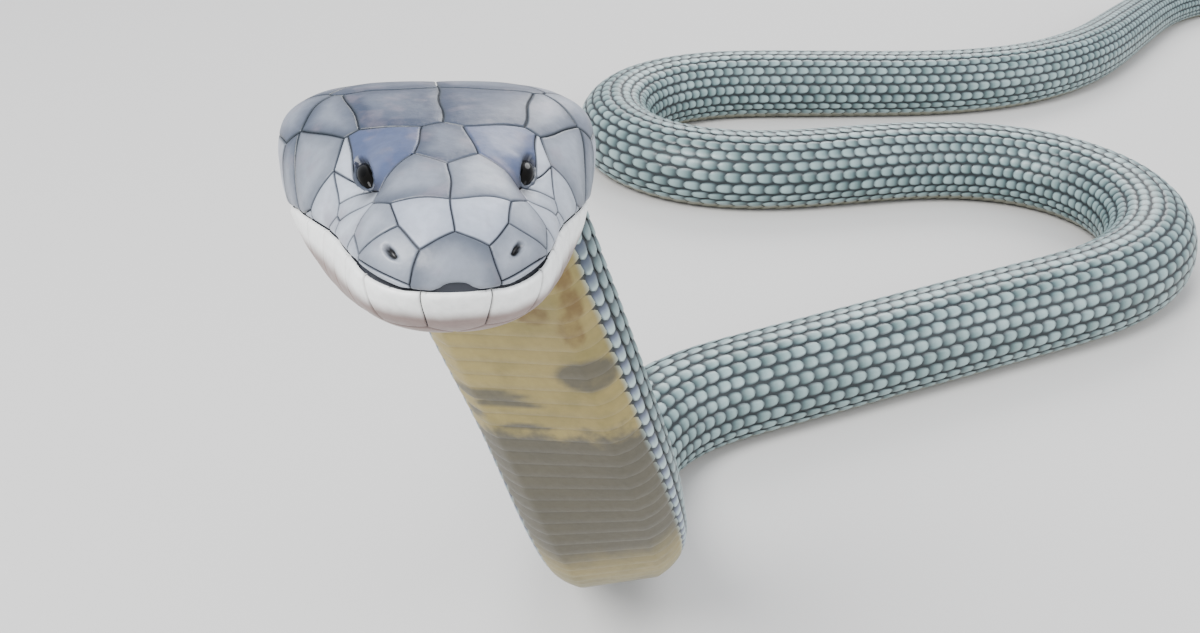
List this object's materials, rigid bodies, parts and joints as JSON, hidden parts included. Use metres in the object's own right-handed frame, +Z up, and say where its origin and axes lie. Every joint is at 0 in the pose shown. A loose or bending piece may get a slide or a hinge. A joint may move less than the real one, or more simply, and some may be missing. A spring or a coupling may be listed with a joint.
{
  "type": "king cobra",
  "caption": "Life-size still model of a king cobra with head and neck raised, its body lying in loose bends on the floor.",
  "frame": {"origin": "on the floor, under the middle of the model's bounding box", "axes": "+Z up; the face looks toward -Y; +X is the animal's left, the side on which the body leaves the neck"},
  "size_m": [1.1894, 1.5646, 0.4171],
  "materials": {
    "head_skin": "smooth bluish gray shields with darker seams, low sheen",
    "jaw_skin": "white lip scales and pale gray chin, low sheen",
    "eye": "wet black eye with a dark bronze ring",
    "neck_skin": "tan yellow throat scutes with gray sides, low sheen",
    "body_skin": "gray green scales with pale bands and dark gaps, low sheen"
  },
  "bodies": {
    "root": {"head": "head_skin", "lower_jaw": "jaw_skin", "eye_left": "eye", "eye_right": "eye", "neck_upper": "neck_skin", "neck_lower": "neck_skin", "neck_base": "neck_skin", "trunk_1": "body_skin", "trunk_2": "body_skin", "trunk_3": "body_skin", "trunk_4": "body_skin", "trunk_5": "body_skin", "trunk_6": "body_skin", "trunk_7": "body_skin", "tail_1": "body_skin", "tail_2": "body_skin", "tail_3": "body_skin"}
  },
  "joints": []
}
